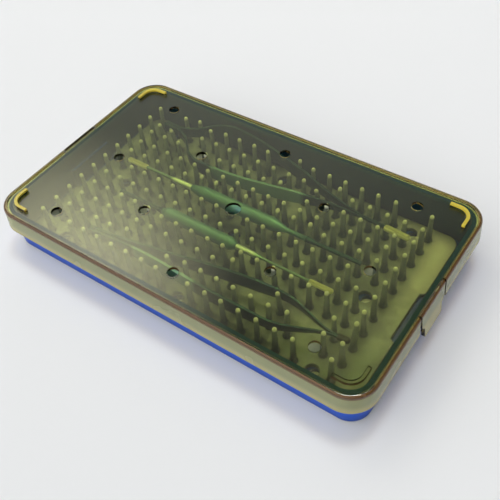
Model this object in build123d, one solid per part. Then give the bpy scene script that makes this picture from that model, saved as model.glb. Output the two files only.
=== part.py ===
from build123d import *
import math
import os

os.makedirs("parts", exist_ok=True)

# Sterilization box, closed, with four instruments held in its silicone finger mat.
# Millimetres. The origin is on the underside, at the middle of the plan.
# +X runs along the long side and +Z up.

# Lid, a shallow cover with a drafted skirt
closed_height = 21.0
lid_length = 170.5
lid_width = 100.0
lid_corner_radius = 10.5
lid_plate = 1.8
lid_wall = 1.6
skirt_depth = 9.0
skirt_flare = 0.6
rim_width = 1.4
rim_round = 1.0
field_recess = 0.5
stack_rib_inset = 5.4
stack_rib_width = 1.3
stack_rib_leg = 9.5
stack_rib_height = 1.4
lid_vent_diameter = 4.6
lid_centre_vent_diameter = 6.5

# Base tray, which stands inside the skirt and carries the lid on its rim
foot_inset_ends = 2.0
foot_inset_sides = 3.0
base_wall = 1.6
base_floor = 2.0
foot_corner_radius = 8.0
foot_chamfer = 0.9
rim_clearance = 0.35
base_vent_diameter = 5.0

# Latch tongues at both ends, and what they catch on
tongue_length = 14.0
tongue_root_width = 18.4
tongue_shoulder_width = 17.6
tongue_tip_width = 13.6
tongue_shoulder_depth = 7.0
tongue_neck_depth = 8.6
tongue_flare = 1.4
tongue_tip_thickness = 1.3
tongue_tip_round = 1.0
knuckle_radius = 0.75
knuckle_clearance = 0.2
slit_gap = 0.7
window_flare = 0.5
barb_reach = 1.0
barb_height = 1.8
barb_width = 11.0
catch_reach = 0.8
catch_height = 1.6
catch_width = 12.0
catch_clearance = 0.4
pocket_depth = 1.5
pocket_width = 19.0
pocket_side_slope = 0.6

# Silicone mat with its field of fingers
mat_end_clearance = 2.95
mat_side_clearance = 1.1
mat_corner_radius = 5.0
mat_thickness = 2.0
mat_shift = -0.7
mat_notch_depth = 1.85
mat_notch_clearance = 0.5
mat_hole_diameter = 5.4
finger_pitch = 7.57
finger_border_x = 10.0
finger_border_y = 6.0
finger_field_shift = -1.15
finger_headroom = 1.2
finger_root_radius = 1.45
finger_tip_radius = 1.05
finger_sides = 4
finger_slice = 0.8
finger_slice_border = 3.0
finger_clearance = 0.3
finger_most_lean = 3.4

# Instruments, which lie along X between the rows of fingers
wide_forceps_tail_x = -61.4
wide_forceps_tail_inset = 12.3
wide_forceps_angle = -2.9
wide_forceps_length = 125.0
wide_forceps_closed = 21.0
wide_forceps_gape = 13.2
wide_forceps_widest = 30.0
wide_forceps_below_tips = 0.4
fine_forceps_tail_x = -47.4
fine_forceps_tail_inset = 10.3
fine_forceps_angle = 4.2
fine_forceps_length = 114.5
fine_forceps_closed = 6.0
fine_forceps_gape = 6.8
fine_forceps_widest = 84.0
fine_forceps_below_tips = 2.4
arm_thickness = 1.2
arm_tip_thickness = 0.6
arm_tail_gap = 0.3
arm_tip_gap = 0.1
arm_tail_length = 8.0
arm_tail_height = 4.2
arm_grip_height = 6.4
arm_tip_height = 1.2
arm_grip_start = 30.0
arm_grip_end = 74.0
arm_fullness = 1.6
arm_bow_arcs = 2
arm_fall_arcs = 3
rivet_radius = 1.0
rivet_head = 0.3
guard_wall = 0.7
guard_fit = 0.05
wide_guard_length = 20.0
fine_guard_length = 5.0

spatula_y = 5.3
spatula_below_tips = 0.7
spatula_handle_start = -25.4
spatula_handle_length = 56.0
spatula_handle_radius = 2.8
spatula_handle_end_radius = 1.4
spatula_handle_taper = 14.0
spatula_ferrule_length = 12.0
spatula_shaft_radius = 0.7
spatula_tip_reach = 23.0
spatula_rear_length = 24.0
spatula_rear_radius = 0.9
spatula_guard_length = 14.0

hook_y = -11.6
hook_below_tips = 1.0
hook_handle_start = -27.4
hook_handle_length = 37.0
hook_handle_radius = 2.7
hook_handle_end_radius = 1.4
hook_handle_taper = 3.0
hook_ferrule_length = 12.0
hook_shaft_radius = 0.6
hook_tip_reach = 30.0
hook_rear_length = 23.0
hook_rear_radius = 0.9
hook_guard_length = 10.0
tang_length = 5.0
tang_radius = 0.8
ferrule_radius = 1.2
ferrule_cone = 3.0
rear_cone = 4.0

# Levels and outlines that follow from the sizes above
lid_underside = closed_height - lid_plate
skirt_bottom = closed_height - skirt_depth
field_level = closed_height - field_recess
end_x = lid_length / 2
base_top_length = lid_length - 2 * (lid_wall + rim_clearance)
base_top_width = lid_width - 2 * (lid_wall + rim_clearance)
base_foot_length = lid_length - 2 * foot_inset_ends
base_foot_width = lid_width - 2 * foot_inset_sides
base_end_draft = (base_top_length - base_foot_length) / 2
base_side_draft = (base_top_width - base_foot_width) / 2
mat_length = base_foot_length - 2 * base_wall - 2 * mat_end_clearance
mat_width = base_foot_width - 2 * base_wall - 2 * mat_side_clearance
mat_top = base_floor + mat_thickness
finger_top = lid_underside - finger_headroom
finger_height = finger_top - mat_top
finger_columns_each_side = int((mat_length / 2 - finger_border_x) / finger_pitch)
finger_rows_each_side = int((mat_width / 2 - finger_border_y) / finger_pitch)
hole_columns_each_side = finger_columns_each_side - 1
vent_step_x = hole_columns_each_side * finger_pitch / 2
vent_step_y = finger_rows_each_side * finger_pitch / 2
tongue_tip_level = closed_height - tongue_length
knuckle_x = end_x - knuckle_radius
knuckle_z = closed_height - knuckle_radius
window_x = knuckle_x - knuckle_radius - knuckle_clearance
catch_bottom = tongue_tip_level + barb_height + 2 * catch_clearance


def plate(length, width, radius, level):
    """Rounded rectangle at a level."""
    return Plane.XY.offset(level) * RectangleRounded(length, width, radius)


def drafted_block(length, width, radius, low, high, grow_ends, grow_sides):
    """Block with round corners whose ends and sides lean out between two levels."""
    foot = plate(length, width, radius, low)
    head = plate(length + 2 * grow_ends, width + 2 * grow_sides, radius + grow_sides, high)
    return loft([foot, head])


def upright(points, low, high):
    """Prism over a polygon drawn in plan."""
    outline = make_face(Polyline(*points, close=True))
    return extrude(Plane.XY.offset(low) * outline, high - low)


def base_outer_x(level):
    """Outer face of the base's end wall at a level."""
    return base_foot_length / 2 + base_end_draft * level / lid_underside


def at_both_ends(solid):
    """The solid and its mirror image at the other end of the box."""
    return [solid, mirror(solid, Plane.YZ)]


def vent_spots():
    """The grid of thirteen places that lid vents and base vents share."""
    spots = []
    for column in (-2, 0, 2):
        for row in (-2, 0, 2):
            spots.append((column * vent_step_x, row * vent_step_y))
    for column in (-1, 1):
        for row in (-1, 1):
            spots.append((column * vent_step_x, row * vent_step_y))
    return spots


def is_centre(spot):
    return spot[0] == 0 and spot[1] == 0


def is_outer(spot):
    """True for the nine places of the three by three grid."""
    return abs(spot[0]) != vent_step_x


def stack_ribs():
    """L-shaped ribs on the lid's corners, which locate a box stacked on top."""
    out = stack_rib_inset - stack_rib_width / 2
    inn = stack_rib_inset + stack_rib_width / 2
    outer = plate(lid_length - 2 * out, lid_width - 2 * out, lid_corner_radius - out, field_level)
    inner = plate(lid_length - 2 * inn, lid_width - 2 * inn, lid_corner_radius - inn, field_level)
    ring = extrude(outer - inner, stack_rib_height)
    corner_x = lid_length / 2 - out - stack_rib_leg / 2
    corner_y = lid_width / 2 - out - stack_rib_leg / 2
    keep = [
        Pos(side_x * corner_x, side_y * corner_y, closed_height)
        * Box(stack_rib_leg, stack_rib_leg, 2 * lid_plate)
        for side_x in (-1, 1)
        for side_y in (-1, 1)
    ]
    return [ring & corner for corner in keep]


def tongue_window():
    """What the lid leaves open round a tongue: two slits that widen downwards."""
    top = tongue_root_width / 2 + slit_gap
    bottom = top + window_flare
    above = closed_height + lid_plate
    below = skirt_bottom - lid_plate
    outline = make_face(
        Polyline((-top, above), (top, above), (bottom, below), (-bottom, below), close=True)
    )
    return extrude(Plane.YZ.offset(window_x) * outline, end_x - window_x + 3 * skirt_flare)


def lid_shell():
    outer = drafted_block(
        lid_length + 2 * skirt_flare,
        lid_width + 2 * skirt_flare,
        lid_corner_radius + skirt_flare,
        skirt_bottom,
        closed_height,
        -skirt_flare,
        -skirt_flare,
    )
    outer = fillet(outer.faces().sort_by(Axis.Z)[-1].edges(), rim_round)
    hollow_flare = skirt_flare * (lid_underside - skirt_bottom) / skirt_depth
    hollow = drafted_block(
        lid_length + 2 * skirt_flare - 2 * lid_wall,
        lid_width + 2 * skirt_flare - 2 * lid_wall,
        lid_corner_radius + skirt_flare - lid_wall,
        skirt_bottom,
        lid_underside,
        -hollow_flare,
        -hollow_flare,
    )
    field = extrude(
        plate(
            lid_length - 2 * rim_width,
            lid_width - 2 * rim_width,
            lid_corner_radius - rim_width,
            field_level,
        ),
        lid_plate,
    )
    shell = outer - hollow - field + stack_ribs()
    for spot in vent_spots():
        wide = lid_centre_vent_diameter if is_centre(spot) else lid_vent_diameter
        shell -= Pos(spot[0], spot[1], closed_height) * Cylinder(wide / 2, 4 * lid_plate)
    return shell - at_both_ends(tongue_window())


def latch_tongue():
    """Tongue at the +X end: a round root in the lid's plate, a flared blade and a barb."""
    tip_out = end_x + tongue_flare
    tip_in = tip_out - tongue_tip_thickness
    side = make_face(
        Polyline(
            (knuckle_x - knuckle_radius, knuckle_z),
            (knuckle_x + knuckle_radius, knuckle_z),
            (tip_out, tongue_tip_level),
            (tip_in, tongue_tip_level),
            close=True,
        )
    )
    side += Pos(knuckle_x, knuckle_z) * Circle(knuckle_radius)
    blade = extrude(Plane.XZ * side, tongue_root_width / 2, both=True)
    halves = (tongue_root_width / 2, tongue_shoulder_width / 2, tongue_tip_width / 2)
    front = make_face(
        Polyline(
            (-halves[0], closed_height),
            (halves[0], closed_height),
            (halves[1], closed_height - tongue_shoulder_depth),
            (halves[2], closed_height - tongue_neck_depth),
            (halves[2], tongue_tip_level),
            (-halves[2], tongue_tip_level),
            (-halves[2], closed_height - tongue_neck_depth),
            (-halves[1], closed_height - tongue_shoulder_depth),
            close=True,
        )
    )
    corners = front.vertices().sort_by(Axis.Y)[0:2]
    front = fillet(corners, tongue_tip_round)
    blade &= extrude(Plane.YZ.offset(window_x) * front, end_x)
    barb_side = make_face(
        Polyline(
            (tip_in, tongue_tip_level),
            (tip_in - barb_reach, tongue_tip_level + barb_height / 2),
            (tip_in - barb_reach, tongue_tip_level + barb_height),
            (tip_in + tongue_tip_thickness / 2, tongue_tip_level + barb_height),
            (tip_in + tongue_tip_thickness / 2, tongue_tip_level),
            close=True,
        )
    )
    return blade + extrude(Plane.XZ * barb_side, barb_width / 2, both=True)


def pocket_plan(reach, grow):
    """Plan of the trapezoid behind a tongue, reach from the middle and grow wider."""
    narrow = pocket_width / 2 + grow
    wide = narrow + pocket_side_slope * (end_x - reach)
    return [(reach, -narrow), (end_x, -wide), (end_x, wide), (reach, narrow)]


def base_tray():
    outer = drafted_block(
        base_foot_length,
        base_foot_width,
        foot_corner_radius,
        0,
        lid_underside,
        base_end_draft,
        base_side_draft,
    )
    outer = chamfer(outer.faces().sort_by(Axis.Z)[0].edges(), foot_chamfer)
    floor_share = base_floor / lid_underside
    floor_end_draft = base_end_draft * floor_share
    floor_side_draft = base_side_draft * floor_share
    hollow = drafted_block(
        base_foot_length - 2 * base_wall + 2 * floor_end_draft,
        base_foot_width - 2 * base_wall + 2 * floor_side_draft,
        foot_corner_radius - base_wall + floor_side_draft,
        base_floor,
        lid_underside,
        base_end_draft - floor_end_draft,
        base_side_draft - floor_side_draft,
    )
    pocket_x = base_foot_length / 2 - pocket_depth
    boss = upright(pocket_plan(pocket_x - base_wall, base_wall), 0, catch_bottom + base_wall) & outer
    pocket = upright(pocket_plan(pocket_x, 0), -base_floor, catch_bottom)
    catch_x = base_outer_x(catch_bottom)
    catch_side = make_face(
        Polyline(
            (catch_x - base_wall / 2, catch_bottom),
            (catch_x + catch_reach, catch_bottom),
            (catch_x + catch_reach, catch_bottom + catch_height / 2),
            (base_outer_x(catch_bottom + catch_height), catch_bottom + catch_height),
            (catch_x - base_wall / 2, catch_bottom + catch_height),
            close=True,
        )
    )
    catch = extrude(Plane.XZ * catch_side, catch_width / 2, both=True)
    tray = outer - hollow + at_both_ends(boss) - at_both_ends(pocket) + at_both_ends(catch)
    for spot in vent_spots():
        if is_outer(spot):
            tray -= Pos(spot[0], spot[1], 0) * Cylinder(base_vent_diameter / 2, 4 * base_floor)
    return tray


def finger_spots():
    """Places of the lattice, and those of them that hold a hole in place of a finger."""
    fingers = []
    holes = []
    for column in range(-finger_columns_each_side, finger_columns_each_side + 1):
        for row in range(-finger_rows_each_side, finger_rows_each_side + 1):
            spot = (finger_field_shift + column * finger_pitch, row * finger_pitch)
            on_hole_column = abs(column) in (0, hole_columns_each_side)
            if on_hole_column and abs(row) in (0, finger_rows_each_side):
                holes.append(spot)
            else:
                fingers.append(spot)
    return fingers, holes


def finger_slice_block(holes):
    """The upper slice of the mat that the fingers stand on, cut out square round each hole."""
    length = 2 * finger_columns_each_side * finger_pitch + 2 * finger_slice_border
    width = 2 * finger_rows_each_side * finger_pitch + 2 * finger_slice_border
    outline = plate(length, width, finger_slice_border, mat_top - finger_slice)
    block = Pos(finger_field_shift, 0, 0) * extrude(outline, finger_slice)
    side = mat_hole_diameter + 2 * finger_slice
    return block - [Pos(x, y, mat_top) * Box(side, side, 4 * finger_slice) for x, y in holes]


def silicone_mat(holes):
    sheet = extrude(plate(mat_length, mat_width, mat_corner_radius, base_floor), mat_thickness)
    notch_x = mat_length / 2 - mat_notch_depth
    notch = upright(pocket_plan(notch_x, base_wall + mat_notch_clearance), 0, finger_top)
    sheet = Pos(mat_shift, 0, 0) * (sheet - at_both_ends(notch)) - finger_slice_block(holes)
    return sheet - [Pos(x, y, mat_top) * Cylinder(mat_hole_diameter / 2, 4 * mat_thickness) for x, y in holes]


def gape(forceps, s):
    """Half opening, to the middle of an arm, at a distance s from the tail."""
    tail = (arm_tail_gap + arm_thickness) / 2
    tip = (arm_tip_gap + arm_tip_thickness) / 2
    if s < forceps["widest"]:
        rise = max(0.0, s - arm_tail_length) / (forceps["widest"] - arm_tail_length)
        return tail + (forceps["gape"] - tail) * math.sin(math.pi / 2 * rise) ** 2
    meet = forceps["length"] - forceps["closed"]
    fall = max(0.0, meet - s) / (meet - forceps["widest"])
    return tip + (forceps["gape"] - tip) * math.sin(math.pi / 2 * fall) ** arm_fullness


def thickness(forceps, s):
    """Thickness of an arm, which thins from the grip to where the arms meet."""
    meet = forceps["length"] - forceps["closed"]
    share = min(1.0, max(0.0, (s - arm_grip_end) / (meet - arm_grip_end)))
    return arm_thickness + (arm_tip_thickness - arm_thickness) * share


def arm_edge(forceps, side, across):
    """Edge of an arm in plan: straight tail, arcs that bow out and fall back, straight tip."""

    def spot(s):
        return (s, side * (gape(forceps, s) + across * thickness(forceps, s) / 2))

    widest = forceps["widest"]
    meet = forceps["length"] - forceps["closed"]
    edge = Line(spot(0), spot(arm_tail_length))
    for start, end, arcs in ((arm_tail_length, widest, arm_bow_arcs), (widest, meet, arm_fall_arcs)):
        step = (end - start) / arcs
        for arc in range(arcs):
            first = start + arc * step
            edge += ThreePointArc(spot(first), spot(first + step / 2), spot(first + step))
    return edge + Line(spot(meet), spot(forceps["length"]))


def forceps_arm(forceps, side):
    """One arm: a strip on edge that bows out from the tail and closes at the tip."""
    outer = arm_edge(forceps, side, 1)
    inner = arm_edge(forceps, side, -1)
    plan = make_face(outer + inner + Line(outer @ 0, inner @ 0) + Line(outer @ 1, inner @ 1))
    strip = extrude(plan, arm_grip_height / 2, both=True)
    half_heights = [
        (0, arm_tail_height / 2),
        (arm_tail_length, arm_tail_height / 2),
        (arm_grip_start, arm_grip_height / 2),
        (arm_grip_end, arm_grip_height / 2),
        (forceps["length"] - forceps["closed"], arm_tip_height / 2),
        (forceps["length"], arm_tip_height / 2),
    ]
    upper = half_heights
    lower = [(s, -half) for s, half in half_heights[::-1]]
    profile = make_face(Polyline(*upper, *lower, close=True))
    strip &= extrude(Plane.XZ * profile, forceps["gape"] + arm_thickness, both=True)
    hole = Pos(arm_tail_length / 2, 0, 0) * Rot(90, 0, 0) * Cylinder(rivet_radius, 4 * arm_thickness)
    return forceps_place(forceps) * (strip - hole)


def forceps_place(forceps):
    x, y = forceps["tail"]
    return Pos(x, y, forceps["height"]) * Rot(0, 0, forceps["angle"])


def forceps_rivet(forceps):
    length = arm_tail_gap + 2 * arm_thickness + 2 * rivet_head
    shank = Rot(90, 0, 0) * Cylinder(rivet_radius, length)
    return forceps_place(forceps) * Pos(arm_tail_length / 2, 0, 0) * shank


def forceps_guard(forceps):
    """Tube pushed over both tips, closed at neither end."""
    bore = math.hypot(arm_tip_gap / 2 + arm_tip_thickness, arm_tip_height / 2) + guard_fit
    tube = Cylinder(bore + guard_wall, forceps["guard"]) - Cylinder(bore, 2 * forceps["guard"])
    middle = forceps["length"] + guard_wall - forceps["guard"] / 2
    return forceps_place(forceps) * Pos(middle, 0, 0) * Rot(0, 90, 0) * tube


def turned(outline, y, height):
    """Round piece along X from pairs of distance along X and radius."""
    first = outline[0][0]
    last = outline[-1][0]
    half = make_face(Polyline((first, 0), *outline, (last, 0), close=True))
    return Pos(0, y, height) * revolve(half, Axis.X)


def handle(tool):
    """Turned handle, drilled at both ends for the tangs."""
    start = tool["start"]
    end = start + tool["length"]
    body = turned(
        [
            (start, tool["end_radius"]),
            (start + tool["taper"], tool["radius"]),
            (end - tool["taper"], tool["radius"]),
            (end, tool["end_radius"]),
        ],
        tool["y"],
        tool["height"],
    )
    for seat in (tool["tip_end"], tool["rear_end"]):
        bore = [(seat - tang_length, tang_radius), (seat + tang_length, tang_radius)]
        body -= turned(bore, tool["y"], tool["height"])
    return body


def working_shaft(tool):
    """Tang, ferrule and thin shaft of the working end."""
    out = tool["tip_side"]
    seat = tool["tip_end"]
    tip = seat + out * (tool["ferrule"] + tool["tip_reach"])
    outline = [
        (seat - out * tang_length, tang_radius),
        (seat, tang_radius),
        (seat, ferrule_radius),
        (seat + out * (tool["ferrule"] - ferrule_cone), ferrule_radius),
        (seat + out * tool["ferrule"], tool["shaft_radius"]),
        (tip, tool["shaft_radius"]),
    ]
    return turned(outline, tool["y"], tool["height"])


def rear_shaft(tool):
    """Tang and stepped rear end."""
    out = -tool["tip_side"]
    seat = tool["rear_end"]
    outline = [
        (seat - out * tang_length, tang_radius),
        (seat, tang_radius),
        (seat, tool["end_radius"]),
        (seat + out * rear_cone, tool["rear_radius"]),
        (seat + out * tool["rear_length"], tool["rear_radius"]),
    ]
    return turned(outline, tool["y"], tool["height"])


def tip_guard(tool):
    """Blind tube on the working tip."""
    out = tool["tip_side"]
    tip = tool["tip_end"] + out * (tool["ferrule"] + tool["tip_reach"])
    bore = tool["shaft_radius"] + guard_fit
    mouth = tip + out * (guard_wall - tool["guard"])
    outline = [
        (mouth, bore),
        (mouth, bore + guard_wall),
        (tip + out * guard_wall, bore + guard_wall),
        (tip + out * guard_wall, 0),
        (tip + out * guard_fit, 0),
        (tip + out * guard_fit, bore),
    ]
    half = make_face(Polyline(*outline, close=True))
    return Pos(0, tool["y"], tool["height"]) * revolve(half, Axis.X)


wide_forceps = {
    "tail": (wide_forceps_tail_x, mat_width / 2 - wide_forceps_tail_inset),
    "angle": wide_forceps_angle,
    "length": wide_forceps_length,
    "closed": wide_forceps_closed,
    "gape": wide_forceps_gape,
    "widest": wide_forceps_widest,
    "height": finger_top - wide_forceps_below_tips - arm_grip_height / 2,
    "guard": wide_guard_length,
}
fine_forceps = {
    "tail": (fine_forceps_tail_x, fine_forceps_tail_inset - mat_width / 2),
    "angle": fine_forceps_angle,
    "length": fine_forceps_length,
    "closed": fine_forceps_closed,
    "gape": fine_forceps_gape,
    "widest": fine_forceps_widest,
    "height": finger_top - fine_forceps_below_tips - arm_grip_height / 2,
    "guard": fine_guard_length,
}
spatula = {
    "y": spatula_y,
    "height": finger_top - spatula_below_tips - spatula_handle_radius,
    "start": spatula_handle_start,
    "length": spatula_handle_length,
    "radius": spatula_handle_radius,
    "end_radius": spatula_handle_end_radius,
    "taper": spatula_handle_taper,
    "ferrule": spatula_ferrule_length,
    "shaft_radius": spatula_shaft_radius,
    "tip_reach": spatula_tip_reach,
    "tip_side": -1,
    "tip_end": spatula_handle_start,
    "rear_end": spatula_handle_start + spatula_handle_length,
    "rear_length": spatula_rear_length,
    "rear_radius": spatula_rear_radius,
    "guard": spatula_guard_length,
}
hook = {
    "y": hook_y,
    "height": finger_top - hook_below_tips - hook_handle_radius,
    "start": hook_handle_start,
    "length": hook_handle_length,
    "radius": hook_handle_radius,
    "end_radius": hook_handle_end_radius,
    "taper": hook_handle_taper,
    "ferrule": hook_ferrule_length,
    "shaft_radius": hook_shaft_radius,
    "tip_reach": hook_tip_reach,
    "tip_side": 1,
    "tip_end": hook_handle_start + hook_handle_length,
    "rear_end": hook_handle_start,
    "rear_length": hook_rear_length,
    "rear_radius": hook_rear_radius,
    "guard": hook_guard_length,
}


def finger_radius(level):
    share = (level - mat_top) / finger_height
    return finger_root_radius + (finger_tip_radius - finger_root_radius) * share


def tool_beside(x, tool):
    """Middle, half width, lowest and highest level of a straight tool at x, or None."""
    out = tool["tip_side"]
    tip = tool["tip_end"] + out * (tool["ferrule"] + tool["tip_reach"])
    rear = tool["rear_end"] - out * tool["rear_length"]
    if not min(tip, rear) - finger_root_radius < x < max(tip, rear) + finger_root_radius:
        return None
    on_handle = tool["start"] - finger_pitch / 2 < x < tool["start"] + tool["length"] + finger_pitch / 2
    half_width = tool["radius"] if on_handle else tool["shaft_radius"] + guard_wall + guard_fit
    return tool["y"], half_width, tool["height"] - half_width / 2, tool["height"] + half_width


def arm_beside(x, forceps, side):
    """The same for one arm of the forceps, or for the guard past it."""
    turn = math.radians(forceps["angle"])
    s = (x - forceps["tail"][0]) / math.cos(turn)
    if not -finger_root_radius < s < forceps["length"] + guard_wall + finger_root_radius:
        return None
    s_on_arm = min(max(s, 0.0), forceps["length"])
    offset = gape(forceps, s_on_arm)
    centre = forceps["tail"][1] + s * math.sin(turn) + side * offset * math.cos(turn)
    slope = abs(gape(forceps, min(s_on_arm + 1, forceps["length"])) - offset)
    half_width = arm_thickness / 2 * (1 + slope) + finger_root_radius * slope
    half_height = arm_grip_height / 2
    if s > forceps["length"] - forceps["guard"]:
        half_width = arm_thickness + guard_wall
        half_height = arm_thickness + guard_wall
    return centre, half_width, forceps["height"] - half_height, forceps["height"] + half_height


def lean_from(y, beside):
    """Lean of the tip of a finger at y that clears a piece beside it."""
    centre, half_width, low, high = beside
    short = half_width + finger_radius(low) + finger_clearance - abs(y - centre)
    if short <= 0:
        return 0.0
    side = 1 if y >= centre else -1
    return side * short * finger_height / (low - mat_top)


def is_clear(y, lean, beside):
    """True if a leaning finger stands clear of a piece over the piece's whole height."""
    centre, half_width, low, high = beside
    for level in (low, min(high, finger_top)):
        finger_y = y + lean * (level - mat_top) / finger_height
        gap = abs(finger_y - centre) - half_width - finger_radius(level)
        if gap < finger_clearance / 2:
            return False
    return True


def finger_lean(x, y):
    """Lean of the tip along Y, or None where the finger is pressed flat by an instrument."""
    pieces = [tool_beside(x, tool) for tool in (spatula, hook)]
    for forceps in (wide_forceps, fine_forceps):
        pieces += [arm_beside(x, forceps, side) for side in (-1, 1)]
    pieces = [beside for beside in pieces if beside]
    leans = [lean_from(y, beside) for beside in pieces]
    high = max(leans, default=0.0)
    low = min(leans, default=0.0)
    if high > 0 > low or max(high, -low) > finger_most_lean:
        return None
    lean = max(high, 0.0) + min(low, 0.0)
    return lean if all(is_clear(y, lean, beside) for beside in pieces) else None


def ring(x, y, radius, level):
    """Corners of a finger's outline at a level."""
    turns = [2 * math.pi * corner / finger_sides for corner in range(finger_sides)]
    return [Vector(x + radius * math.cos(turn), y + radius * math.sin(turn), level) for turn in turns]


def finger(x, y, lean):
    """Tapered finger that stands on the slice, with flat sides."""
    root = ring(x, y, finger_root_radius, mat_top)
    tip = ring(x, y + lean, finger_tip_radius, finger_top)
    faces = [Face(Wire.make_polygon(root)), Face(Wire.make_polygon(tip))]
    for corner in range(finger_sides):
        after = (corner + 1) % finger_sides
        side = [root[corner], root[after], tip[after], tip[corner]]
        faces.append(Face(Wire.make_polygon(side)))
    return Solid(Shell(faces))


def mat_fingers(fingers, holes):
    strands = []
    for x, y in fingers:
        lean = finger_lean(x, y)
        if lean is not None:
            strands.append(finger(x, y, lean))
    print("standing fingers:", len(strands))
    return finger_slice_block(holes) + strands


finger_places, hole_places = finger_spots()
tongue = latch_tongue()

nodes = {
    "base_tray": base_tray(),
    "silicone_mat": silicone_mat(hole_places),
    "mat_fingers": mat_fingers(finger_places, hole_places),
    "lid_shell": lid_shell(),
    "latch_tongue_right": tongue,
    "latch_tongue_left": mirror(tongue, Plane.YZ),
    "wide_forceps_front_arm": forceps_arm(wide_forceps, -1),
    "wide_forceps_back_arm": forceps_arm(wide_forceps, 1),
    "wide_forceps_rivet": forceps_rivet(wide_forceps),
    "wide_forceps_tip_guard": forceps_guard(wide_forceps),
    "fine_forceps_front_arm": forceps_arm(fine_forceps, -1),
    "fine_forceps_back_arm": forceps_arm(fine_forceps, 1),
    "fine_forceps_rivet": forceps_rivet(fine_forceps),
    "fine_forceps_tip_guard": forceps_guard(fine_forceps),
    "spatula_handle": handle(spatula),
    "spatula_working_shaft": working_shaft(spatula),
    "spatula_rear_shaft": rear_shaft(spatula),
    "spatula_tip_guard": tip_guard(spatula),
    "hook_handle": handle(hook),
    "hook_working_shaft": working_shaft(hook),
    "hook_rear_shaft": rear_shaft(hook),
    "hook_tip_guard": tip_guard(hook),
}

for name, shape in nodes.items():
    export_step(shape, f"parts/{name}.step")
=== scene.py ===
import math
import random

import bmesh
import bpy
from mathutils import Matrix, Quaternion, Vector


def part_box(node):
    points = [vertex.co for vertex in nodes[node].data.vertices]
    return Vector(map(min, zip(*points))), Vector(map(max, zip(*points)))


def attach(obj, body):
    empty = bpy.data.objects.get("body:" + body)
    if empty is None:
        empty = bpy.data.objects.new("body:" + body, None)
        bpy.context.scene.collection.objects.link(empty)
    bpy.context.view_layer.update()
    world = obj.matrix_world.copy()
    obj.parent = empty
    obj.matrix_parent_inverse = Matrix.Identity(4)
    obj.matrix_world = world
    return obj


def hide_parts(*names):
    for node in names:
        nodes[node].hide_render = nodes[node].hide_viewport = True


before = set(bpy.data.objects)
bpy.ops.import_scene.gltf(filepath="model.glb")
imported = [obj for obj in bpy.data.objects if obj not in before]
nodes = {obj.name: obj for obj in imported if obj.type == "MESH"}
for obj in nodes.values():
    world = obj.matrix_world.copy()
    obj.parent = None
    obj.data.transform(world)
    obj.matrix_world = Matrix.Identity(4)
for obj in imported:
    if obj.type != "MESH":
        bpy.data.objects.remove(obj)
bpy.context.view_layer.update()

# Camera, which looks down on the front right corner
camera_place = Vector((0.12745, -0.14743, 0.21531))
camera_aim = Vector((0.01845, -0.01467, 0.021))
camera_roll = math.radians(-6.07)
camera_lens = 50.3
camera_clip_start = 0.01
camera_clip_end = 20

# Light: softboxes at the left and above, in a dim room that is bright in front, paler at the
# back left and pale along its horizon
side_softbox_place = Vector((-0.90, 0.405, 1.135))
side_softbox_width = 1.3
side_softbox_power = 9.0
side_softbox_colour = (1.0, 0.965, 0.80, 1)
top_softbox_place = Vector((-0.10, 0.40, 1.37))
top_softbox_width = 0.7
top_softbox_power = 17.5
top_softbox_colour = (1.0, 0.99, 0.97, 1)
softbox_fade = 0.346
softbox_middle = 2.6
room_colour = (0.97, 0.985, 1, 1)
room_bright_side = Vector((-0.30, -0.80, 0.50))
room_dim = 0.09
room_bright = 1.5
room_dim_until = 0.15
room_back_side = Vector((-0.55, 0.72, 0.42))
room_back = 0.66
room_back_from = 0.80
horizon_glow = 0.75
horizon_low = 0.12
horizon_high = 0.34
floor_half = 4.0

# Colours, linear
floor_colour = (0.87, 0.873, 0.878, 1)
floor_shade = (0.85, 0.86, 0.875, 1)
blue_plastic = (0.003, 0.065, 0.46, 1)
blue_plastic_worn = (0.006, 0.08, 0.52, 1)
# Painted shade on the tray: the next three colours darken its recesses and inward faces, teal up
# under the lid
blue_recess_painted_shade = (0.002, 0.012, 0.035, 1)
blue_inside_painted_shade = (0.003, 0.028, 0.065, 1)
teal_painted_shade_under_lid = (0.008, 0.105, 0.14, 1)
amber_tint = (0.70, 0.82, 0.36, 1)
amber_absorbs = (0.62, 0.42, 0.12, 1)
haze_pale = (0.29, 0.30, 0.14, 1)
haze_deep = (0.235, 0.25, 0.11, 1)
# Painted golden highlight along the lid skirt's lower edge
skirt_edge_painted_highlight = (0.45, 0.40, 0.16, 1)
# Rim brown, partly the amber's own colour and partly painted shade
rim_brown_and_painted_shade = (0.12, 0.054, 0.014, 1)
# Painted golden highlight on the rim seen from behind
rim_painted_highlight = (0.92, 0.70, 0.32, 1)
# Ribs: painted shade on their outward faces, then painted golden highlight
rib_painted_shade = (0.030, 0.020, 0.010, 1)
rib_painted_highlight = (0.95, 0.76, 0.08, 1)
# Fingers: painted shade at the root, their own colour in the body, painted light in the tip
silicone_root_painted_shade = (0.065, 0.085, 0.090, 1)
silicone_body = (0.33, 0.37, 0.38, 1)
silicone_tip_painted_light = (0.96, 0.98, 0.96, 1)
mat_pale = (0.44, 0.47, 0.43, 1)
mat_worn = (0.20, 0.22, 0.23, 1)
# Painted shade round the mat's fingers
mat_painted_shade = (0.022, 0.035, 0.040, 1)
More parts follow.
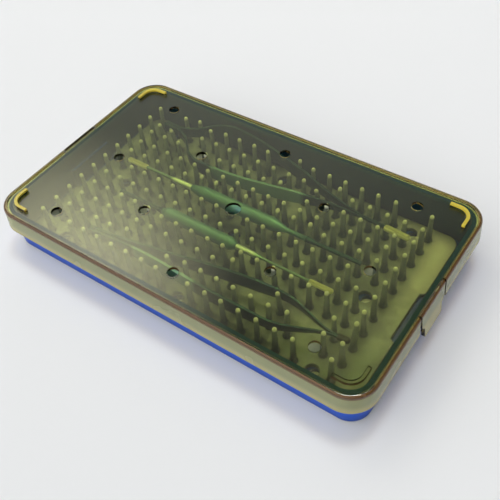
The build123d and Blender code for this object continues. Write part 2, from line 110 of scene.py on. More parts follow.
# Painted shade in the mat's front right corner, then painted light in its back right corner
mat_front_corner_painted_shade = (0.17, 0.22, 0.17, 1)
mat_back_corner_painted_light = (0.74, 0.70, 0.66, 1)
arm_deep = (0.020, 0.048, 0.060, 1)
arm_light = (0.042, 0.088, 0.105, 1)
shaft_deep = (0.18, 0.28, 0.28, 1)
shaft_light = (0.27, 0.38, 0.36, 1)
grip_deep = (0.14, 0.29, 0.30, 1)
grip_light = (0.20, 0.36, 0.36, 1)
ferrule_colour = (0.74, 0.84, 0.86, 1)
ferrule_light = (0.82, 0.90, 0.94, 1)
guard_yellow = (0.42, 0.42, 0.20, 1)
# Painted highlight on the yellow guards' sides and along them
guard_painted_highlight = (1.0, 0.98, 0.66, 1)
guard_dark = (0.012, 0.012, 0.014, 1)
# Painted highlight on the dark guards' sides and along them
guard_dark_painted_highlight = (0.025, 0.025, 0.028, 1)

# Roughness, from the smoothest spots to the roughest
amber_roughness = (0.02, 0.07)
haze_roughness = (0.20, 0.32)
blue_roughness = (0.34, 0.50)
mat_roughness = (0.45, 0.62)
finger_roughness = (0.14, 0.24)
titanium_roughness = (0.26, 0.44)
handle_roughness = (0.50, 0.62)
guard_roughness = (0.22, 0.38)

# Scales of the noise, per metre, and how deep it is as a bump
floor_tone_scale = 3.0
amber_ripple_scale = 25.0
amber_polish_scale = 60.0
haze_tone_scale = 90.0
blue_tone_scale = 45.0
blue_polish_scale = 120.0
blue_grain_scale = 2600.0
mat_tone_scale = 110.0
mat_tone_reach = (0.36, 0.64)
mat_polish_scale = 150.0
mat_grain_scale = 1500.0
finger_polish_scale = 400.0
finger_grain_scale = 1800.0
titanium_tone_scale = 55.0
grip_tone_scale = 120.0
grip_knurl_scale = 1400.0
brush_scale = 900.0
guard_polish_scale = 300.0
guard_line_scale = 500.0
along_x = (0.05, 1, 1)
usual_detail = 3.0
plain_detail = 2.0
amber_ripple_depth = 0.0002
amber_ripple_strength = 0.25
grain_depth = 0.00004
mat_grain_depth = 0.00005

# Lid: the outside of the skirt is hazy, with a painted golden highlight along its lower edge, under
# a rim whose brown is partly the amber's own and partly painted shade, with a painted golden
# highlight behind. The ribs carry painted shade outside and painted golden highlights inside and,
# on three of the four, on top.
amber_ior = 1.57
amber_density = 210.0
skirt_gold_low = 0.0120
skirt_gold_high = 0.0160
haze_full_level = 0.0193
haze_none_level = 0.0198
haze_share = 0.80
rim_share = 0.85
rim_behind_share = 0.75
rib_foot = 0.0001
rib_body = 0.0002
# The ribs' painted golden highlight covers their inner faces and, but for the front right rib,
# their tops
rib_gold_share = 0.75
rib_top_share = 0.6
rib_top_upward = 0.5
rib_top_side = (-0.55, 0.83, 0)
rib_top_from = -0.04
outward_least = 0.01

# Tray: painted shade darkens its recesses and its inward faces, and turns teal up under the lid
plastic_ior = 1.5
blue_specular = 0.3
blue_shade_reach = 0.005
# Levels over which the tray's painted shade turns teal under the lid
under_lid_low = 0.0165
under_lid_high = 0.0185
shade_samples = 6

# Mat and its fingers
finger_pitch = 0.00757
finger_corner = 0.00105
finger_tip_radius = 0.00086
finger_root_radius = 0.00135
finger_tip_length = 0.0017
# Painted shade at the fingers' roots fades out between these shares of their height
finger_dark_until = 0.05
finger_pale_from = 0.80
finger_glow_share = 0.25
finger_sides = 14
finger_rings = 9
finger_ring_power = 1.3
finger_dome_rings = 4
finger_dome_whole = 4.5
finger_sink = 0.0003
finger_flare = 0.00045
finger_flare_height = 0.0012
tip_wander = 0.00022
tip_level_slack = 1e-5
column_slack = 0.02
place_digits = 5
mat_corner_radius = 0.005
mat_edge_round = 0.0003
mat_notch_depth = 0.00185
mat_notch_half = 0.0116
mat_notch_mouth_half = 0.0127
mat_hole_radius = 0.0027
mat_hole_column = 8
mat_hole_row = 5
# Painted shade in the mat's front right corner and painted light in its back right corner
mat_front_side = (0.6, -0.8, 0)
mat_front_reach = (0.040, 0.075)
mat_back_side = (0.90, 0.44, 0)
mat_back_reach = (0.056, 0.086)
mat_shade_reach = 0.009
mat_shade_power = 2.2

# Instruments
wide_forceps_angle = math.radians(-2.9)
fine_forceps_angle = math.radians(4.2)
wide_forceps_grip = (-0.0260, 0.0190)
fine_forceps_grip = (-0.0260, 0.0080)
grip_fade = 0.003
grip_metallic = 0.35
spatula_ferrule = (-0.0375, -0.0200)
hook_ferrule = (0.0040, 0.0195)
bevel_width = 0.00018
bevel_angle = math.radians(40)
weld_distance = 1e-6

# Tip guards: soft tubes, with painted highlights on their sides and painted bright lines along them
guard_wall = 0.0007
guard_slimness = 0.80
guard_sides = 28
guard_lip_steps = 4
guard_dome_steps = 6
guard_dome_whole = 6.3
guard_bore_end = 0.00002
short_guard_length = 0.011
# Guards turn to their painted highlight between these normal heights, and along painted bright
# lines
guard_top_from = 0.92
guard_side_from = 0.60
guard_line_share = 0.4
yellow_glow_share = 0.2
dark_glow_share = 0.05

# Turned handles
knurl_pitch = 0.0008
knurl_depth = 0.00011
knurl_steps = 4
handle_end_share = 0.52
handle_chamfer_share = 0.9
handle_chamfer = 0.0002
front_taper_share = 0.9
back_taper_share = 0.1
hook_handle_taper = 0.003
spatula_handle_taper = 0.007
spatula_neck_length = 0.009
neck_radius = 0.0010


def node(tree, kind, inputs=None, **settings):
    """A shader node with its settings, and its inputs set to values or linked to outputs."""
    made = tree.nodes.new("ShaderNode" + kind)
    for name, value in settings.items():
        setattr(made, name, value)
    for name, value in (inputs or {}).items():
        socket = made.inputs[name]
        if isinstance(value, bpy.types.NodeSocket):
            tree.links.new(value, socket)
        else:
            socket.default_value = value
    return made


def new_tree(name):
    """Material with an empty node tree."""
    made = bpy.data.materials.new(name)
    made.use_nodes = True
    made.node_tree.nodes.clear()
    return made, made.node_tree


def object_place(tree):
    """Place on the object, in its own coordinates."""
    return node(tree, "TexCoord").outputs["Object"]


def component(tree, vector, axis):
    return node(tree, "SeparateXYZ", {0: vector}).outputs[axis]


def calculate(tree, operation, first, second):
    return node(tree, "Math", {0: first, 1: second}, operation=operation).outputs[0]


def product(tree, first, second):
    return calculate(tree, "MULTIPLY", first, second)


def dot(tree, first, second):
    inputs = {0: first, 1: second}
    return node(tree, "VectorMath", inputs, operation="DOT_PRODUCT").outputs["Value"]


def ramp(tree, value, start, end, low=0.0, high=1.0):
    """Smooth change from low to high while the value goes from start to end."""
    inputs = {"Value": value, "From Min": start, "From Max": end, "To Min": low, "To Max": high}
    return node(tree, "MapRange", inputs, interpolation_type="SMOOTHSTEP").outputs["Result"]


def spread(tree, value, low, high):
    """Value from 0 to 1 carried to low to high."""
    inputs = {"Value": value, "To Min": low, "To Max": high}
    return node(tree, "MapRange", inputs).outputs["Result"]


def noise(tree, scale, detail=usual_detail, stretch=None):
    """Noise from 0 to 1 over the object's own coordinates, drawn out along some axes."""
    place = object_place(tree)
    if stretch:
        place = node(tree, "Mapping", {"Vector": place, "Scale": stretch}).outputs[0]
    inputs = {"Vector": place, "Scale": scale, "Detail": detail}
    return node(tree, "TexNoise", inputs).outputs["Fac"]


def uneven(tree, scale, reach):
    """Roughness that wanders between the two ends of its reach."""
    return spread(tree, noise(tree, scale), *reach)


def blend_colours(tree, share, first, second):
    """Colour between two, by share."""
    return node(tree, "Mix", {0: share, 6: first, 7: second}, data_type="RGBA").outputs[2]


def bump(tree, height, distance, strength=1.0):
    inputs = {"Height": height, "Distance": distance, "Strength": strength}
    return node(tree, "Bump", inputs).outputs["Normal"]


def grain(tree, scale, depth=grain_depth):
    """Fine moulded grain, as a bump."""
    return bump(tree, noise(tree, scale, plain_detail), depth)


def openness(tree, distance, power=1.0):
    """1 where a surface lies open, less where something stands close by."""
    found = node(tree, "AmbientOcclusion", {"Distance": distance}, samples=shade_samples)
    return calculate(tree, "POWER", found.outputs["AO"], power)


def level_share(tree, low, high):
    """Share from 0 at a low level to 1 at a high one."""
    return ramp(tree, component(tree, object_place(tree), "Z"), low, high)


def side_share(tree, side, reach):
    """Share from 0 to 1 between two distances from the middle towards a side."""
    return ramp(tree, dot(tree, object_place(tree), side), *reach)


def stretch_share(tree, start, end):
    """1 between two places along X, smoothly 0 outside them."""
    along = component(tree, object_place(tree), "X")
    risen = ramp(tree, along, start, start + grip_fade)
    fallen = ramp(tree, along, end, end - grip_fade)
    return product(tree, risen, fallen)


def seen_outside(tree, geometry):
    """1 where a face is seen from outside its plastic, and 0 from inside."""
    return calculate(tree, "SUBTRACT", 1.0, geometry.outputs["Backfacing"])


def facing(tree, sign, behind=False):
    """1 on faces that look away from the middle of the box, or towards it for a sign of -1.

    Behind finds the faces seen from the plastic's inside instead.
    """
    geometry = node(tree, "NewGeometry")
    inputs = {0: object_place(tree), 1: (sign, sign, 0)}
    place = node(tree, "VectorMath", inputs, operation="MULTIPLY").outputs[0]
    outward = dot(tree, place, geometry.outputs["Normal"])
    found = calculate(tree, "GREATER_THAN", outward, outward_least)
    side = geometry.outputs["Backfacing"] if behind else seen_outside(tree, geometry)
    return product(tree, found, side)


def rib_tops(tree):
    """1 on faces that look up, apart from those in the front right corner: the rib tops that get a
    painted highlight.
    """
    geometry = node(tree, "NewGeometry")
    upward = component(tree, geometry.outputs["Normal"], "Z")
    up = calculate(tree, "GREATER_THAN", upward, rib_top_upward)
    along = dot(tree, object_place(tree), rib_top_side)
    there = calculate(tree, "GREATER_THAN", along, rib_top_from)
    return product(tree, product(tree, up, there), seen_outside(tree, geometry))


def principled(tree, inputs):
    return node(tree, "BsdfPrincipled", inputs).outputs[0]


def mix_shaders(tree, share, first, second):
    return node(tree, "MixShader", {0: share, 1: first, 2: second}).outputs[0]


def haze_tone(tree, on_ribs, in_rim, rim_behind):
    """Colour of the lid's haze, rim and ribs, with their painted highlights and painted shade."""
    colour = blend_colours(tree, noise(tree, haze_tone_scale), haze_pale, haze_deep)
    # Painted golden highlight along the skirt's lower edge
    above_edge = level_share(tree, skirt_gold_low, skirt_gold_high)
    colour = blend_colours(tree, above_edge, skirt_edge_painted_highlight, colour)
    # The rim's brown is partly the amber's own and partly painted shade
    colour = blend_colours(tree, in_rim, colour, rim_brown_and_painted_shade)
    colour = blend_colours(tree, rim_behind, colour, rim_painted_highlight)
    # Ribs: painted highlight, with painted shade on their outward faces
    rib_colour = blend_colours(tree, facing(tree, 1), rib_painted_highlight, rib_painted_shade)
    return blend_colours(tree, on_ribs, colour, rib_colour)


def haze_cover(tree, on_ribs, in_rim, rim_behind):
    """How much of the clear plastic the haze, the rim and the ribs hide."""
    strength = spread(tree, in_rim, haze_share, rim_share)
    skirt = product(tree, strength, facing(tree, 1))
    # Painted golden highlight on the ribs' inner faces and crests
    rib_sides = product(tree, facing(tree, -1), rib_gold_share)
    rib_crests = product(tree, rib_tops(tree), rib_top_share)
    ribs = product(tree, on_ribs, calculate(tree, "MAXIMUM", rib_sides, rib_crests))
    behind = product(tree, rim_behind, rim_behind_share)
    return calculate(tree, "MAXIMUM", calculate(tree, "ADD", skirt, ribs), behind)


def amber_plastic():
    """Clear amber plastic, hazy on the outside of its skirt, that lets light fall through."""
    made, tree = new_tree("amber_clear_plastic")
    plate_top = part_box("latch_tongue_right")[1].z
    on_ribs = level_share(tree, plate_top + rib_foot, plate_top + rib_body)
    in_rim = level_share(tree, haze_full_level, haze_none_level)
    # Painted golden highlight on the rim where it is seen from inside the plastic
    rim_behind = product(tree, in_rim, facing(tree, -1, behind=True))
    ripple = noise(tree, amber_ripple_scale, plain_detail)
    clear = principled(
        tree,
        {
            "Base Color": amber_tint,
            "Roughness": uneven(tree, amber_polish_scale, amber_roughness),
            "IOR": amber_ior,
            "Transmission Weight": 1.0,
            "Normal": bump(tree, ripple, amber_ripple_depth, amber_ripple_strength),
        },
    )
    haze = principled(
        tree,
        {
            "Base Color": haze_tone(tree, on_ribs, in_rim, rim_behind),
            "Roughness": uneven(tree, amber_polish_scale, haze_roughness),
            "IOR": plastic_ior,
        },
    )
    body = mix_shaders(tree, haze_cover(tree, on_ribs, in_rim, rim_behind), clear, haze)
    open_to_light = node(tree, "BsdfTransparent", {"Color": (1, 1, 1, 1)}).outputs[0]
    shadow_ray = node(tree, "LightPath").outputs["Is Shadow Ray"]
    surface = mix_shaders(tree, shadow_ray, body, open_to_light)
    inside = node(tree, "VolumeAbsorption", {"Color": amber_absorbs, "Density": amber_density})
    node(tree, "OutputMaterial", {"Surface": surface, "Volume": inside.outputs[0]})
    return made


def moulded_blue():
    """Opaque blue plastic with a fine moulded grain, painted shade on its inward faces, and painted
    shade in its recesses that turns teal up under the lid.
    """
    made, tree = new_tree("moulded_blue_plastic")
    colour = blend_colours(tree, noise(tree, blue_tone_scale), blue_plastic, blue_plastic_worn)
    # Painted shade on faces that look towards the middle of the tray
    colour = blend_colours(tree, facing(tree, -1), colour, blue_inside_painted_shade)
    # Painted shade in recesses, navy low down and teal up under the lid
    under_lid = level_share(tree, under_lid_low, under_lid_high)
    recess = blend_colours(tree, under_lid, blue_recess_painted_shade, teal_painted_shade_under_lid)
    colour = blend_colours(tree, openness(tree, blue_shade_reach), recess, colour)
    surface = principled(
        tree,
        {
            "Base Color": colour,
            "Roughness": uneven(tree, blue_polish_scale, blue_roughness),
            "IOR": plastic_ior,
            "Specular IOR Level": blue_specular,
            "Normal": grain(tree, blue_grain_scale),
        },
    )
    node(tree, "OutputMaterial", {"Surface": surface})
    return made


def mat_silicone():
    """Greyish white silicone sheet with a mottled tone, painted shade round the fingers, and at its
    right end painted shade towards the front and painted light towards the back.
    """
    made, tree = new_tree("grey_silicone_sheet")
    mottle = ramp(tree, noise(tree, mat_tone_scale), *mat_tone_reach)
    colour = blend_colours(tree, mottle, mat_worn, mat_pale)
    # Painted shade in the front right corner, painted light in the back right corner
    front = side_share(tree, mat_front_side, mat_front_reach)
    colour = blend_colours(tree, front, colour, mat_front_corner_painted_shade)
    back = side_share(tree, mat_back_side, mat_back_reach)
    colour = blend_colours(tree, back, colour, mat_back_corner_painted_light)
    # Painted shade round the fingers
    free = openness(tree, mat_shade_reach, mat_shade_power)
    colour = blend_colours(tree, free, mat_painted_shade, colour)
    surface = principled(
        tree,
        {
            "Base Color": colour,
            "Roughness": uneven(tree, mat_polish_scale, mat_roughness),
            "Normal": grain(tree, mat_grain_scale, mat_grain_depth),
        },
    )
    node(tree, "OutputMaterial", {"Surface": surface})
    return made


def finger_silicone():
    """Translucent silicone, with painted shade near the mat and painted light in the tips."""
    made, tree = new_tree("translucent_silicone_fingers")
    low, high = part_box("mat_fingers")
    height = high.z - low.z
    # Painted shade at the roots, painted light in the tips
    up = level_share(
        tree, low.z + finger_dark_until * height, low.z + finger_pale_from * height
    )
    in_tip = level_share(tree, high.z - finger_tip_length, high.z - finger_tip_length / 3)
    colour = blend_colours(tree, up, silicone_root_painted_shade, silicone_body)
    colour = blend_colours(tree, in_tip, colour, silicone_tip_painted_light)
    body = principled(
        tree,
        {
            "Base Color": colour,
            "Roughness": uneven(tree, finger_polish_scale, finger_roughness),
            "Normal": grain(tree, finger_grain_scale),
        },
    )
    glow = node(tree, "BsdfTranslucent", {"Color": colour}).outputs[0]
    surface = mix_shaders(tree, finger_glow_share, body, glow)
    node(tree, "OutputMaterial", {"Surface": surface})
    return made


def titanium(name, deep, light, grip=None, ferrule=None, roughness=titanium_roughness):
    """Anodised titanium, brushed along X, with a knurled grip or a pale ferrule if given."""
    made, tree = new_tree(name)
    streaks = noise(tree, brush_scale, usual_detail, along_x)
    colour = blend_colours(tree, noise(tree, titanium_tone_scale), deep, light)
    height = streaks
    metallic = 1.0
    if grip:
        share = stretch_share(tree, *grip)
        paler = blend_colours(tree, noise(tree, grip_tone_scale), grip_deep, grip_light)
        colour = blend_colours(tree, share, colour, paler)
        inputs = {"Vector": object_place(tree), "Scale": grip_knurl_scale}
        knurl = node(tree, "TexVoronoi", inputs).outputs["Distance"]
        height = node(tree, "Mix", {0: share, 2: streaks, 3: knurl}).outputs[0]
        metallic = spread(tree, share, 1.0, grip_metallic)
    if ferrule:
        share = stretch_share(tree, *ferrule)
        tone = noise(tree, grip_tone_scale)
        colour = blend_colours(
            tree, share, colour, blend_colours(tree, tone, ferrule_colour, ferrule_light)
        )
    surface = principled(
        tree,
        {
            "Base Color": colour,
            "Metallic": metallic,
            "Roughness": spread(tree, streaks, *roughness),
            "Normal": bump(tree, height, grain_depth),
        },
    )
    node(tree, "OutputMaterial", {"Surface": surface})
    return made


def guard_silicone(name, colour, paler, glow_share):
    """Soft tube with painted highlights on its sides and painted bright lines along it, translucent
    by its share.
    """
    made, tree = new_tree(name)
    upward = component(tree, node(tree, "NewGeometry").outputs["Normal"], "Z")
    # Painted highlight on the sides and painted bright lines along the tube
    side = ramp(tree, upward, guard_top_from, guard_side_from)
    streaks = noise(tree, guard_line_scale, plain_detail, along_x)
    lines = product(tree, streaks, guard_line_share)
    tone = blend_colours(tree, calculate(tree, "MAXIMUM", side, lines), colour, paler)
    roughness = uneven(tree, guard_polish_scale, guard_roughness)
    body = principled(tree, {"Base Color": tone, "Roughness": roughness})
    glow = node(tree, "BsdfTranslucent", {"Color": tone}).outputs[0]
    node(tree, "OutputMaterial", {"Surface": mix_shaders(tree, glow_share, body, glow)})
    return made


def floor_material():
    """Plain pale floor."""
    made, tree = new_tree("pale_floor")
    tone = blend_colours(tree, noise(tree, floor_tone_scale), floor_colour, floor_shade)
    surface = node(tree, "BsdfDiffuse", {"Color": tone}).outputs[0]
    node(tree, "OutputMaterial", {"Surface": surface})
    return made


def give_material(piece, material):
    piece.data.materials.clear()
    piece.data.materials.append(material)


def new_piece(name, shape, body, material, replaced):
    """Object from a bmesh, which rides on a body and stands for a CAD node."""
    mesh = bpy.data.meshes.new(name)
    bmesh.ops.recalc_face_normals(shape, faces=shape.faces)
    shape.to_mesh(mesh)
    shape.free()
    mesh.polygons.foreach_set("use_smooth", [True] * len(mesh.polygons))
    piece = bpy.data.objects.new(name, mesh)
    bpy.context.scene.collection.objects.link(piece)
    give_material(piece, material)
    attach(piece, body)
    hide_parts(replaced)
    return piece


def ring_turns(sides):
    """Angles of a ring's corners."""
    return [2 * math.pi * corner / sides for corner in range(sides)]


def skin_rings(shape, rings):
    """Faces between rings of vertices, with a face over the first and last."""
    for lower, upper in zip(rings, rings[1:]):
        count = len(lower)
        for corner in range(count):
            after = (corner + 1) % count
            shape.faces.new((lower[corner], lower[after], upper[after], upper[corner]))
    shape.faces.new(rings[0][::-1])
    shape.faces.new(rings[-1])


def lathe(shape, outline, centre, angle, sides):
    """Round solid about a level axis, from pairs of distance along it and radius."""
    along = Vector((math.cos(angle), math.sin(angle), 0))
    across = Vector((-math.sin(angle), math.cos(angle), 0))
    up = Vector((0, 0, 1))
    rings = []
    for distance, radius in outline:
        ring = []
        for turn in ring_turns(sides):
            out = across * math.cos(turn) + up * math.sin(turn)
            ring.append(shape.verts.new(centre + along * distance + out * radius))
        rings.append(ring)
    skin_rings(shape, rings)


def finger_places():
    """Tip centres of the CAD fingers, each with the lattice place of its root."""
    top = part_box("mat_fingers")[1].z - tip_level_slack
    tips = [v.co for v in nodes["mat_fingers"].data.vertices if v.co.z > top]
    last_corner = max(tip.x for tip in tips)
    found = set()
    for tip in tips:
        columns = (last_corner - tip.x) / finger_pitch
        if abs(columns - round(columns)) < column_slack:
            found.add((round(tip.x - finger_corner, place_digits), round(tip.y, place_digits)))
    return [((x, round(y / finger_pitch) * finger_pitch), (x, y)) for x, y in sorted(found)]


def finger_outline(mat_top, top):
    """Pairs of level and radius for a finger: flared root, taper and domed tip."""
    shoulder = top - finger_tip_radius
    levels = [mat_top - finger_sink]
    for ring in range(finger_rings):
        share = (ring / (finger_rings - 1)) ** finger_ring_power
        levels.append(mat_top + (shoulder - mat_top) * share)
    outline = []
    for level in levels:
        share = max(0.0, (level - mat_top) / (top - mat_top))
        flare = finger_flare * max(0.0, 1 - (level - mat_top) / finger_flare_height) ** 2
        radius = finger_root_radius + (finger_tip_radius - finger_root_radius) * share
        outline.append((level, radius + flare))
    for ring in range(1, finger_dome_rings + 1):
        turn = math.pi / 2 * ring / finger_dome_whole
        level = shoulder + finger_tip_radius * math.sin(turn)
        outline.append((level, finger_tip_radius * math.cos(turn)))
    return outline


def finger_field():
    """Round tapered fingers with domed tips, each bent from its root by its own lean."""
    draw = random.Random(7)
    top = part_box("mat_fingers")[1].z
    mat_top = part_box("silicone_mat")[1].z
    outline = finger_outline(mat_top, top)
    shape = bmesh.new()
    for root, tip in finger_places():
        tip_x = tip[0] + draw.uniform(-tip_wander, tip_wander)
        tip_y = tip[1] + draw.uniform(-tip_wander, tip_wander) / 2
        rings = []
        for level, radius in outline:
            share = max(0.0, (level - mat_top) / (top - mat_top))
            x = root[0] + (tip_x - root[0]) * share
            y = root[1] + (tip_y - root[1]) * share
            ring = []
            for turn in ring_turns(finger_sides):
                spot = (x + radius * math.cos(turn), y + radius * math.sin(turn), level)
                ring.append(shape.verts.new(spot))
            rings.append(ring)
        skin_rings(shape, rings)
    new_piece("finger_field", shape, "base", finger_silicone(), "mat_fingers")


def arc_points(x, y, radius, start, steps=8):
    """Quarter of a circle, from a start angle in quarter turns."""
    turns = [math.pi / 2 * (start + step / steps) for step in range(steps + 1)]
    return [(x + radius * math.cos(turn), y + radius * math.sin(turn)) for turn in turns]


def mat_outline(low, high):
    """Plan of the mat: round corners, and a notch in each end for the latch pockets."""
    r = mat_corner_radius
    notch = mat_notch_half
    mouth = mat_notch_mouth_half
    right = [(high.x, -mouth), (high.x - mat_notch_depth, -notch)]
    left = [(low.x, mouth), (low.x + mat_notch_depth, notch)]
    outline = arc_points(high.x - r, low.y + r, r, 3)
    outline += right + [(x, -y) for x, y in right[::-1]]
    outline += arc_points(high.x - r, high.y - r, r, 0)
    outline += arc_points(low.x + r, high.y - r, r, 1)
    outline += left + [(x, -y) for x, y in left[::-1]]
    outline += arc_points(low.x + r, low.y + r, r, 2)
    return outline


def add_loop(curve, points):
    """Closed outline through points, on a curve."""
    loop = curve.splines.new("POLY")
    loop.points.add(len(points) - 1)
    for point, (x, y) in zip(loop.points, points):
        point.co = (x, y, 0, 1)
    loop.use_cyclic_u = True


def mat_sheet():
    """Mat sheet with its nine holes, its edges slightly round."""
    low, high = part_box("silicone_mat")
    curve = bpy.data.curves.new("mat_plan", "CURVE")
    curve.dimensions = "2D"
    curve.fill_mode = "BOTH"
    curve.extrude = (high.z - low.z) / 2 - mat_edge_round
    curve.bevel_depth = mat_edge_round
    curve.bevel_resolution = 2
    curve.offset = -mat_edge_round
    add_loop(curve, mat_outline(low, high))
    field_low, field_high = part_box("mat_fingers")
    field_x = (field_low.x + field_high.x) / 2
    for column in (-mat_hole_column, 0, mat_hole_column):
        for row in (-mat_hole_row, 0, mat_hole_row):
            x = field_x + column * finger_pitch
            y = row * finger_pitch
            hole = []
            for quarter in range(4):
                hole += arc_points(x, y, mat_hole_radius, quarter)[:-1]
            add_loop(curve, hole)
    holder = bpy.data.objects.new("mat_plan", curve)
    mesh = bpy.data.meshes.new_from_object(holder)
    bpy.data.objects.remove(holder)
    shape = bmesh.new()
    shape.from_mesh(mesh)
    bmesh.ops.remove_doubles(shape, verts=shape.verts, dist=weld_distance)
    middle = (low.z + high.z) / 2
    bmesh.ops.translate(shape, verts=shape.verts, vec=(0, 0, middle))
    piece = new_piece(
        "mat_sheet", shape, "base", mat_silicone(), "silicone_mat"
    )
    piece.data.polygons.foreach_set("use_smooth", [False] * len(piece.data.polygons))


def guard_outline(half, radius):
    """Pairs of distance and radius for a tube, from its open end to its domed one."""
    bore = radius - guard_wall
    lip = guard_wall / 2
    outline = [(-half + 3 * lip, guard_bore_end), (-half + 3 * lip, bore)]
    for step in range(guard_lip_steps + 1):
        turn = math.pi * step / guard_lip_steps
        distance = -half + lip - lip * math.sin(turn)
        outline.append((distance, radius - lip - lip * math.cos(turn)))
    outline.append((half - radius, radius))
    for step in range(1, guard_dome_steps + 1):
        turn = math.pi / 2 * step / guard_dome_whole
        outline.append((half - radius + radius * math.sin(turn), radius * math.cos(turn)))
    return outline


def tip_guard(cad_node, body, material, angle, closed_side, length=None):
    """Soft tube with round lips and, on its closed side, a domed end."""
    low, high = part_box(cad_node)
    centre = (low + high) / 2
    radius = (high.z - low.z) / 2
    half = ((high.x - low.x) / 2 - radius * abs(math.sin(angle))) / math.cos(angle)
    if length:
        along = Vector((math.cos(angle), math.sin(angle), 0))
        centre += along * closed_side * (half - length / 2)
        half = length / 2
    outline = guard_outline(half, radius * guard_slimness)
    if closed_side < 0:
        outline = [(-distance, across) for distance, across in outline]
    shape = bmesh.new()
    lathe(shape, outline, centre, angle, guard_sides)
    new_piece(cad_node + "_soft", shape, body, material, cad_node)


def knurled_handle(cad_node, body, material, taper, neck=0.0):
    """Turned handle with a diamond knurl between its end tapers, and a thin neck past them."""
    low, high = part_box(cad_node)
    centre = (low + high) / 2
    radius = (high.z - low.z) / 2
    half = (high.x - low.x) / 2
    end_radius = radius * handle_end_share
    around = round(2 * math.pi * radius / knurl_pitch)
    start = -half + taper
    end = half - taper - neck
    rows = round((end - start) / knurl_pitch) * knurl_steps
    shape = bmesh.new()
    rings = []

    def ring(distance, reach, depth=0):
        made = []
        for turn in ring_turns(around * knurl_steps):
            wave = around * turn
            along = 2 * math.pi * distance / knurl_pitch
            ridge = (math.cos((wave + along) / 2) * math.cos((wave - along) / 2)) ** 2
            r = reach - depth * (1 - ridge)
            spot = Vector((distance, r * math.cos(turn), r * math.sin(turn)))
            made.append(shape.verts.new(centre + spot))
        rings.append(made)

    ring(-half, end_radius * handle_chamfer_share)
    ring(-half + handle_chamfer, end_radius)
    ring(-half + taper * front_taper_share, radius)
    for row in range(rows + 1):
        edge = min(1.0, min(row, rows - row) / knurl_steps)
        ring(start + (end - start) * row / rows, radius, knurl_depth * edge)
    ring(end + taper * back_taper_share, radius)
    if neck:
        ring(end + taper, neck_radius)
        ring(half, neck_radius)
    else:
        ring(half - handle_chamfer, end_radius)
        ring(half, end_radius * handle_chamfer_share)
    skin_rings(shape, rings)
    new_piece(cad_node + "_knurled", shape, body, material, cad_node)


def soften(piece):
    """Small round edges on a CAD node's flat-sided mesh."""
    weld = piece.modifiers.new("weld", "WELD")
    weld.merge_threshold = weld_distance
    edges = piece.modifiers.new("round_edges", "BEVEL")
    edges.width = bevel_width
    edges.segments = 2
    edges.limit_method = "ANGLE"
    edges.angle_limit = bevel_angle


def add_camera():
    """Camera at the photograph's angle."""
    data = bpy.data.cameras.new("camera")
    data.lens = camera_lens
    data.clip_start = camera_clip_start
    data.clip_end = camera_clip_end
    camera = bpy.data.objects.new("camera", data)
    bpy.context.scene.collection.objects.link(camera)
    camera.location = camera_place
    camera.rotation_mode = "QUATERNION"
    straight = (camera_aim - camera_place).to_track_quat("-Z", "Y")
    camera.rotation_quaternion = straight @ Quaternion((0, 0, 1), camera_roll)
    bpy.context.scene.camera = camera


def add_softbox(name, place, width, power, colour):
    """Square lamp that fades from its middle, and faces the box."""
    data = bpy.data.lights.new(name, "AREA")
    data.shape = "SQUARE"
    data.size = width
    data.energy = power
    data.use_nodes = True
    tree = data.node_tree
    tree.nodes.clear()
    inputs = {0: node(tree, "TexCoord").outputs["UV"], 1: (0.5, 0.5, 0)}
    from_middle = node(tree, "VectorMath", inputs, operation="DISTANCE").outputs["Value"]
    glow = ramp(tree, from_middle, softbox_fade, 0.0, 0.0, softbox_middle)
    emission = node(tree, "Emission", {"Color": colour, "Strength": glow})
    node(tree, "OutputLight", {"Surface": emission.outputs[0]})
    lamp = bpy.data.objects.new(name, data)
    bpy.context.scene.collection.objects.link(lamp)
    lamp.location = place
    lamp.rotation_mode = "QUATERNION"
    lamp.rotation_quaternion = (-place).to_track_quat("-Z", "Y")
    lamp.visible_camera = False


def add_room():
    """World that is bright in front, paler at the back left and pale along its horizon."""
    world = bpy.data.worlds.new("room")
    world.use_nodes = True
    bpy.context.scene.world = world
    tree = world.node_tree
    tree.nodes.clear()
    direction = node(tree, "TexCoord").outputs["Generated"]
    towards_front = dot(tree, direction, room_bright_side.normalized())
    front = ramp(tree, towards_front, room_dim_until, 1.0, room_dim, room_bright)
    towards_back = dot(tree, direction, room_back_side.normalized())
    back = ramp(tree, towards_back, room_back_from, 1.0, 0.0, room_back)
    height = component(tree, direction, "Z")
    horizon = ramp(tree, height, horizon_high, horizon_low, 0.0, horizon_glow)
    level = calculate(tree, "MAXIMUM", calculate(tree, "ADD", front, back), horizon)
    background = node(tree, "Background", {"Color": room_colour, "Strength": level})
    node(tree, "OutputWorld", {"Surface": background.outputs[0]})


def add_floor():
    """Floor that the box stands on, which isn't part of it."""
    shape = bmesh.new()
    bmesh.ops.create_grid(shape, x_segments=1, y_segments=1, size=floor_half)
    mesh = bpy.data.meshes.new("floor")
    shape.to_mesh(mesh)
    shape.free()
    floor = bpy.data.objects.new("floor", mesh)
    bpy.context.scene.collection.objects.link(floor)
    give_material(floor, floor_material())


bpy.context.scene.view_settings.view_transform = "Standard"
add_camera()
add_softbox(
    "side_softbox", side_softbox_place, side_softbox_width, side_softbox_power, side_softbox_colour
)
add_softbox(
    "top_softbox", top_softbox_place, top_softbox_width, top_softbox_power, top_softbox_colour
)
add_room()
add_floor()

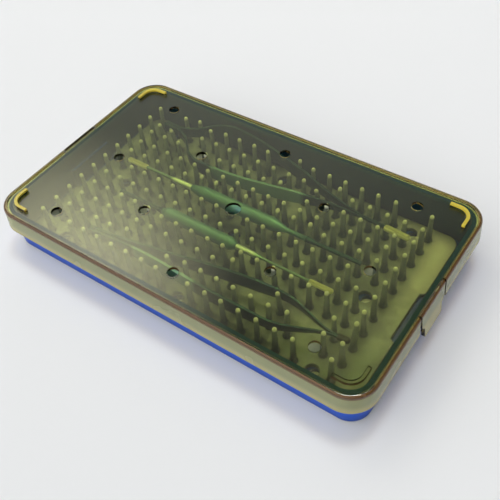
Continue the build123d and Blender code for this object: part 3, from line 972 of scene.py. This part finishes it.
amber = amber_plastic()
blue = moulded_blue()
handle_titanium = titanium(
    "blue_titanium_handle", grip_deep, grip_light, roughness=handle_roughness
)
dark_titanium = titanium("dark_titanium", arm_deep, arm_light)
bright_titanium = titanium("bright_titanium", ferrule_colour, ferrule_light)
shaft_titanium = {
    "spatula": titanium("spatula_shaft_titanium", shaft_deep, shaft_light, ferrule=spatula_ferrule),
    "hook": titanium("hook_shaft_titanium", shaft_deep, shaft_light, ferrule=hook_ferrule),
}
front_arm_titanium = {
    "wide_forceps": titanium("wide_forceps_grip", arm_deep, arm_light, wide_forceps_grip),
    "fine_forceps": titanium("fine_forceps_grip", arm_deep, arm_light, fine_forceps_grip),
}
yellow = guard_silicone("yellow_silicone_tube", guard_yellow, guard_painted_highlight, yellow_glow_share)
dark = guard_silicone("dark_silicone_tube", guard_dark, guard_dark_painted_highlight, dark_glow_share)

for name in ("lid_shell", "latch_tongue_right", "latch_tongue_left"):
    give_material(nodes[name], amber)
give_material(nodes["base_tray"], blue)

mat_sheet()
finger_field()

for forceps in ("wide_forceps", "fine_forceps"):
    give_material(nodes[f"{forceps}_front_arm"], front_arm_titanium[forceps])
    give_material(nodes[f"{forceps}_back_arm"], dark_titanium)
    for part in ("front_arm", "back_arm"):
        soften(nodes[f"{forceps}_{part}"])
    give_material(nodes[f"{forceps}_rivet"], bright_titanium)
for tool in ("spatula", "hook"):
    give_material(nodes[f"{tool}_working_shaft"], shaft_titanium[tool])
    give_material(nodes[f"{tool}_rear_shaft"], dark_titanium)
knurled_handle("hook_handle", "hook", handle_titanium, hook_handle_taper)
knurled_handle(
    "spatula_handle", "spatula", handle_titanium, spatula_handle_taper, spatula_neck_length
)

tip_guard(
    "wide_forceps_tip_guard",
    "wide_forceps",
    yellow,
    wide_forceps_angle,
    1,
    short_guard_length,
)
tip_guard("fine_forceps_tip_guard", "fine_forceps", dark, fine_forceps_angle, 1)
tip_guard(
    "spatula_tip_guard", "spatula", yellow, 0.0, -1, short_guard_length
)
tip_guard("hook_tip_guard", "hook", yellow, 0.0, 1)
